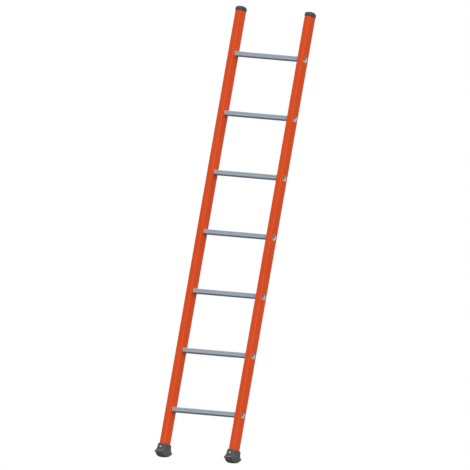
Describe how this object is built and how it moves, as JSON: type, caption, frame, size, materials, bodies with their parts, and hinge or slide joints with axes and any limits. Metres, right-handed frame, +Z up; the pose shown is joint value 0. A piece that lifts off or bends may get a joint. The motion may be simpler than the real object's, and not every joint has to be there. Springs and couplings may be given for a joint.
{
  "type": "single-section leaning ladder",
  "caption": "Straight leaning ladder: orange glass-fibre tube stiles, through aluminium rungs on flanged bushes, domed top caps and rocker-soled rubber feet.",
  "frame": {"origin": "centre of the footprint, on the plane through the lowest points of the two rubber treads", "axes": "+Z up along the stiles, +X along the rungs towards the stile on the climber's right, +Y through the ladder from the climber's side to the wall side"},
  "size_m": [0.445, 0.079, 2.1307],
  "materials": {
    "glass_fibre": "orange pigmented glass-fibre pultrusion, satin",
    "rung_aluminium": "mill-finish extruded aluminium",
    "bush_aluminium": "turned and deburred aluminium",
    "cap_plastic": "dark grey moulded plastic, fine grain",
    "shoe_plastic": "dark grey moulded plastic, fine grain",
    "tread_rubber": "grey moulded rubber, cross-grooved",
    "rivet_steel": "plated domed rivet"
  },
  "bodies": {
    "root": {"stile_left": "glass_fibre", "stile_right": "glass_fibre", "rung_1": "rung_aluminium", "rung_2": "rung_aluminium", "rung_3": "rung_aluminium", "rung_4": "rung_aluminium", "rung_5": "rung_aluminium", "rung_6": "rung_aluminium", "rung_7": "rung_aluminium", "rung_bush_left_1": "bush_aluminium", "rung_bush_left_2": "bush_aluminium", "rung_bush_left_3": "bush_aluminium", "rung_bush_left_4": "bush_aluminium", "rung_bush_left_5": "bush_aluminium", "rung_bush_left_6": "bush_aluminium", "rung_bush_left_7": "bush_aluminium", "rung_bush_right_1": "bush_aluminium", "rung_bush_right_2": "bush_aluminium", "rung_bush_right_3": "bush_aluminium", "rung_bush_right_4": "bush_aluminium", "rung_bush_right_5": "bush_aluminium", "rung_bush_right_6": "bush_aluminium", "rung_bush_right_7": "bush_aluminium", "top_cap_left": "cap_plastic", "shoe_left": "shoe_plastic", "tread_left": "tread_rubber", "rivet_front_left": "rivet_steel", "rivet_back_left": "rivet_steel", "top_cap_right": "cap_plastic", "shoe_right": "shoe_plastic", "tread_right": "tread_rubber", "rivet_front_right": "rivet_steel", "rivet_back_right": "rivet_steel"}
  },
  "joints": []
}
